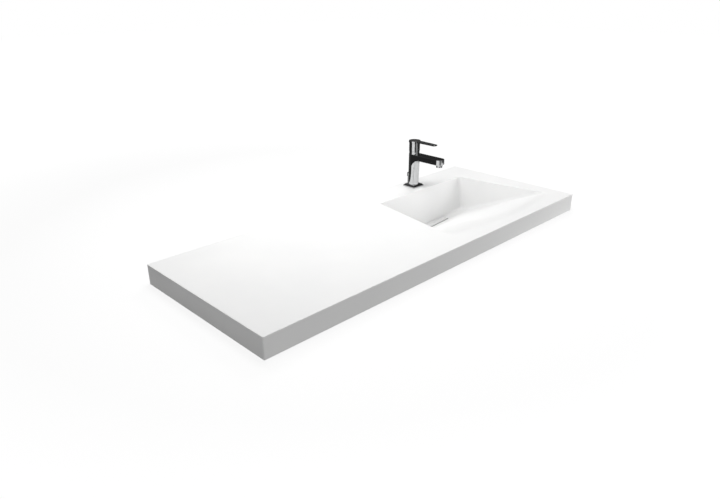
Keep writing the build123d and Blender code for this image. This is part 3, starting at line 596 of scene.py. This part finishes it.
@dataclass
class Threads:
    """Threads on the waste's tube and on the mixer's stud, which show from below."""

    waste_pitch: float = 0.0018
    waste_ridge: float = 0.0006
    stud_pitch: float = 0.00125
    stud_ridge: float = 0.00045

    def waste(self, name: str, low: float, high: float) -> ScrewThread:
        """Plans the thread round one bare stretch of the waste's tube.

        Args:
            name: The thread's name.
            low: The height where the stretch starts.
            high: The height where it ends.

        Returns:
            The thread, half a pitch inside the stretch at both ends.
        """
        seal_low, seal_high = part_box("tailpiece_seal")
        middle = (seal_low + seal_high) / 2
        return ScrewThread(
            name, (middle.x, middle.y, low + self.waste_pitch / 2), (seal_high.x - seal_low.x) / 2,
            high - low - self.waste_pitch, self.waste_pitch, self.waste_ridge, Body.TOP, Slot.BRASS,
        )

    def stud(self) -> ScrewThread:
        """Plans the thread on the stud below its nut.

        Returns:
            The thread, half a pitch inside the bare stretch at both ends.
        """
        low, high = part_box("fixing_stud")
        nut_low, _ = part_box("fixing_nut")
        middle = (low + high) / 2
        return ScrewThread(
            "stud_thread", (middle.x, middle.y, low.z + self.stud_pitch / 2), (high.x - low.x) / 2,
            nut_low.z - low.z - self.stud_pitch, self.stud_pitch, self.stud_ridge, Body.TOP, Slot.STEEL,
        )

    def build(self, palette: Palette) -> None:
        """Makes all the threads.

        Args:
            palette: The finishes.
        """
        nut_low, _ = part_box("waste_nut")
        _, slip_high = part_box("tailpiece_nut")
        port_low, port_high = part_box("ball_socket_nut")
        self.waste("waste_thread_upper", port_high.z, nut_low.z).build(palette)
        self.waste("waste_thread_lower", slip_high.z, port_low.z).build(palette)
        self.stud().build(palette)


@dataclass
class FloorSheet:
    """The pale floor, open under the top so that the bowl hangs free."""

    height: float = -0.0004
    reach: float = 9.0
    opening_low: Pair = (-0.642, -0.486)
    opening_high: Pair = (0.642, -0.002)
    lightness: float = 0.16
    near_glow: float = 0.85
    far_glow: float = 1.0
    glow_start: float = 1.0
    glow_end: float = 1.9

    def rim(self, first: Pair, last: Pair) -> list[Point]:
        """Plans a rectangle at the floor's height from its lowest and its highest corner."""
        plan = (first, (last[0], first[1]), last, (first[0], last[1]))
        return [(*corner, self.height) for corner in plan]

    def material(self) -> bpy.types.Material:
        """Makes the floor's finish.

        Returns:
            A matt material that shows white far from the object, keeps the object's shadow near
            it, and is clear from below.
        """
        sheet = ShaderSheet("pale_floor")
        sheet.set(Base_Color=(self.lightness,) * 3 + (1.0,), Roughness=1.0, Specular_IOR_Level=0.0)
        sheet.set(Emission_Color=WHITE)
        distance = sheet.node("ShaderNodeVectorMath", operation="LENGTH")
        sheet.join(sheet.places(), "Vector", distance, 0)
        fading = sheet.node(
            "ShaderNodeMapRange", From_Min=self.glow_start, From_Max=self.glow_end,
            To_Min=self.near_glow, To_Max=self.far_glow,
        )
        sheet.join(distance, "Value", fading, "Value")
        glow = sheet.node("ShaderNodeMath", operation="MULTIPLY")
        sheet.join(sheet.shown_rays(), "Value", glow, 0)
        sheet.join(fading, "Result", glow, 1)
        sheet.join(glow, "Value", sheet.shader, "Emission Strength")
        under = sheet.node("ShaderNodeNewGeometry")
        clear = sheet.node("ShaderNodeBsdfTransparent")
        mix = sheet.node("ShaderNodeMixShader")
        sheet.join(under, "Backfacing", mix, "Fac")
        sheet.join(sheet.shader, "BSDF", mix, 1)
        sheet.join(clear, "BSDF", mix, 2)
        sheet.join(mix, "Shader", sheet.output, "Surface")
        return sheet.material

    def build(self) -> None:
        """Lays the floor with its faces up."""
        inside = self.rim(self.opening_low, self.opening_high)
        outside = self.rim((-self.reach, -self.reach), (self.reach, self.reach))
        count = len(inside)
        floor = Workshop.piece("floor", inside + outside, Workshop.band(count, 0, count), smooth=False)
        if floor.data.polygons[0].normal.z < 0:
            floor.data.flip_normals()
        floor.data.materials.append(self.material())
        LOG.info("laid the floor")


@dataclass(frozen=True)
class Card:
    """A flat card that only reflections see, where a tone of 1 looks white."""

    name: str
    corners: tuple[Point, ...]
    tone: float

    @classmethod
    def standing(cls, name: str, start: Pair, end: Pair, heights: Pair, tone: float) -> "Card":
        """Plans an upright card between two places, along X and Y, and two heights."""
        low, high = heights
        return cls(name, ((*start, low), (*end, low), (*end, high), (*start, high)), tone)

    @classmethod
    def lying(cls, name: str, across: Pair, along: Pair, height: float, tone: float) -> "Card":
        """Plans a level card with a range along X, a range along Y and a height."""
        plan = ((across[0], along[0]), (across[1], along[0]), (across[1], along[1]), (across[0], along[1]))
        return cls(name, tuple((*corner, height) for corner in plan), tone)

    def build(self) -> None:
        """Makes the card, hidden from every ray but reflections, with its glowing finish."""
        made = Workshop.piece(self.name, self.corners, [range(len(self.corners))], smooth=False)
        made.visible_camera = False
        made.visible_diffuse = False
        made.visible_shadow = False
        made.visible_transmission = False
        made.visible_volume_scatter = False
        sheet = ShaderSheet(self.name)
        sheet.set(Base_Color=BLACK, Specular_IOR_Level=0.0)
        sheet.set(Emission_Color=WHITE, Emission_Strength=self.tone)
        made.data.materials.append(sheet.material)
        LOG.info("set %s", self.name)


@dataclass
class MirrorRoom:
    """The dark room that the chrome mirrors: cards round the object, on the floor and by the handle."""

    left: float = -3.0
    right: float = 2.6
    front: float = -2.4
    back: float = 1.4
    roof: float = 2.6
    foot: float = -0.01
    ground: float = 0.0005
    behind_tone: float = 0.075
    side_tone: float = 0.035
    front_left: float = -1.0
    front_tone: float = 0.45
    roof_tone: float = 0.05
    rear_start: float = 0.02
    rear_split: float = -0.05
    rear_slant: Pair = (0.056, 0.818)
    rear_tone: float = 0.055
    rear_left_tone: float = 0.027
    flank_start: float = 0.665
    flank_tone: float = 0.12
    apron_across: Pair = (-0.9, 0.4)
    apron_along: Pair = (-1.5, -0.52)
    apron_tone: float = 0.42
    apron_end: float = 0.66
    apron_end_tone: float = 0.15
    flag_top: float = 0.216
    left_flag_start: Pair = (0.267, -0.114)
    left_flag_end: Pair = (0.3, -0.137)
    left_flag_foot: float = 0.16
    right_flag_start: Pair = (0.4, -0.19)
    right_flag_end: Pair = (0.4, 0.06)
    right_flag_foot: float = 0.14
    flag_tone: float = 0.03

    def walls(self) -> list[Card]:
        """Plans the cards behind, at the right, in front and overhead.

        Returns:
            The four cards.
        """
        heights = (self.foot, self.roof)
        behind_right = (self.right, self.back)
        front_right = (self.right, self.front)
        return [
            Card.standing("card_behind", (self.left, self.back), behind_right, heights, self.behind_tone),
            Card.standing("card_right", behind_right, front_right, heights, self.side_tone),
            Card.standing(
                "card_front", (self.front_left, self.front), front_right, heights, self.front_tone,
            ),
            Card.lying(
                "card_overhead", (self.left, self.right), (self.front, self.back),
                self.roof, self.roof_tone,
            ),
        ]

    def floor_cards(self) -> list[Card]:
        """Plans the cards that lie on the floor behind, beside and in front of the top.

        Returns:
            The five cards.
        """
        near_slant, far_slant = self.rear_slant
        rear_left = (
            (self.rear_split, near_slant, self.ground), (self.rear_split, self.back, self.ground),
            (self.left, self.back, self.ground), (self.left, far_slant, self.ground),
        )
        return [
            Card.lying(
                "card_floor_behind", (self.rear_split, self.right), (self.rear_start, self.back),
                self.ground, self.rear_tone,
            ),
            Card("card_floor_behind_left", rear_left, self.rear_left_tone),
            Card.lying(
                "card_floor_right", (self.flank_start, self.right), (self.front, self.rear_start),
                self.ground, self.flank_tone,
            ),
            Card.lying(
                "card_floor_front", self.apron_across, self.apron_along, self.ground, self.apron_tone,
            ),
            Card.lying(
                "card_floor_front_right", (self.apron_across[1], self.apron_end), self.apron_along,
                self.ground, self.apron_end_tone,
            ),
        ]

    def flags(self) -> list[Card]:
        """Plans the cards that stand beside the handle.

        Returns:
            The two cards.
        """
        return [
            Card.standing(
                "flag_handle_left", self.left_flag_start, self.left_flag_end,
                (self.left_flag_foot, self.flag_top), self.flag_tone,
            ),
            Card.standing(
                "flag_handle_right", self.right_flag_start, self.right_flag_end,
                (self.right_flag_foot, self.flag_top), self.flag_tone,
            ),
        ]

    def build(self) -> None:
        """Sets all the cards."""
        for card in self.walls() + self.floor_cards() + self.flags():
            card.build()


@dataclass(frozen=True)
class Lamp:
    """A soft rectangular lamp that faces a point, with its size in metres."""

    name: str
    place: Point
    target: Point
    size: Pair
    watts: float

    def build(self) -> None:
        """Hangs the lamp, out of sight of reflections."""
        light = bpy.data.lights.new(self.name, "AREA")
        light.shape = "RECTANGLE"
        light.size, light.size_y = self.size
        light.energy = self.watts
        lamp = bpy.data.objects.new(self.name, light)
        bpy.context.scene.collection.objects.link(lamp)
        lamp.location = self.place
        lamp.rotation_mode = "QUATERNION"
        lamp.rotation_quaternion = (Vector(self.target) - Vector(self.place)).to_track_quat("-Z", "Y")
        lamp.visible_glossy = False
        LOG.info("hung %s", self.name)


@dataclass
class Lighting:
    """The lamps over and round the top, and an even sky."""

    sky: float = 0.08
    lamps: tuple[Lamp, ...] = (
        Lamp("overhead", (0.0, -0.2, 1.5), (0.2, -0.25, 0.0), (0.7, 0.7), 9.6),
        Lamp("left_high", (-1.8, -0.25, 2.2), (0.1, -0.25, 0.0), (1.4, 1.4), 14.5),
        Lamp("behind_near", (-0.3, 0.35, 1.1), (0.4, -0.25, 0.0), (0.6, 0.6), 6.0),
        Lamp("behind_right", (1.6, 0.9, 1.8), (0.3, -0.25, 0.0), (1.0, 1.0), 23.0),
        Lamp("front_right", (1.2, -1.6, 0.35), (0.4, -0.4, 0.05), (0.8, 0.6), 12.0),
        Lamp("front_left", (-1.2, -1.9, 0.5), (0.0, -0.4, 0.05), (0.8, 0.6), 7.0),
        Lamp("right_end", (1.0, -0.25, 0.4), (0.6, -0.3, 0.0), (0.3, 0.3), 0.4),
    )

    def surroundings(self) -> None:
        """Gives the scene a sky that is faint as a light and white where it is seen."""
        world = bpy.data.worlds.new("studio")
        bpy.context.scene.world = world
        world.use_nodes = True
        sheet = NodeSheet(world.node_tree)
        output = sheet.node("ShaderNodeOutputWorld")
        mix = sheet.node("ShaderNodeMixShader")
        light = sheet.node("ShaderNodeBackground", Color=WHITE, Strength=self.sky)
        shown = sheet.node("ShaderNodeBackground", Color=WHITE, Strength=1.0)
        sheet.join(sheet.shown_rays(), "Value", mix, "Fac")
        sheet.join(light, "Background", mix, 1)
        sheet.join(shown, "Background", mix, 2)
        sheet.join(mix, "Shader", output, "Surface")

    def build(self) -> None:
        """Hangs the lamps and sets the sky."""
        for lamp in self.lamps:
            lamp.build()
        self.surroundings()
        LOG.info("set the sky")


@dataclass
class PhotoCamera:
    """The camera that stands where the photograph was taken from, with its angles in radians."""

    place: Point = (-1.251071, -1.390033, 0.713187)
    yaw: float = 0.776737308
    pitch: float = 0.411317384
    roll: float = -0.004234187
    focal_pixels: float = 605.820241
    image_width: int = 720
    sensor: float = 36.0
    nearest: float = 0.05
    farthest: float = 60.0

    def turn(self) -> Matrix:
        """Works out the camera's rotation from its angles.

        Returns:
            The rotation as a matrix of four rows.
        """
        level = math.cos(self.pitch)
        forward = Vector((math.sin(self.yaw) * level, math.cos(self.yaw) * level, -math.sin(self.pitch)))
        side = Vector((math.cos(self.yaw), -math.sin(self.yaw), 0.0))
        up = side.cross(forward)
        right = side * math.cos(self.roll) + up * math.sin(self.roll)
        upright = up * math.cos(self.roll) - side * math.sin(self.roll)
        return Matrix((right, upright, -forward)).transposed().to_4x4()

    def build(self) -> None:
        """Makes the camera and gives it to the scene."""
        lens = bpy.data.cameras.new("photo_camera")
        lens.sensor_fit = "HORIZONTAL"
        lens.sensor_width = self.sensor
        lens.lens = self.focal_pixels / self.image_width * self.sensor
        lens.clip_start = self.nearest
        lens.clip_end = self.farthest
        camera = bpy.data.objects.new("photo_camera", lens)
        bpy.context.scene.collection.objects.link(camera)
        camera.matrix_world = Matrix.Translation(self.place) @ self.turn()
        bpy.context.scene.camera = camera
        LOG.info("camera placed")


def main() -> None:
    """Builds the camera, the looks and the studio in order."""
    logging.basicConfig(level=logging.INFO, format="%(name)s: %(message)s")
    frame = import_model()
    bpy.context.scene.view_settings.view_transform = "Standard"
    PhotoCamera().build()
    palette = Palette()
    CarriedParts(frame).dress(palette)
    Threads().build(palette)
    FloorSheet().build()
    MirrorRoom().build()
    Lighting().build()


if __name__ == "__main__":
    main()
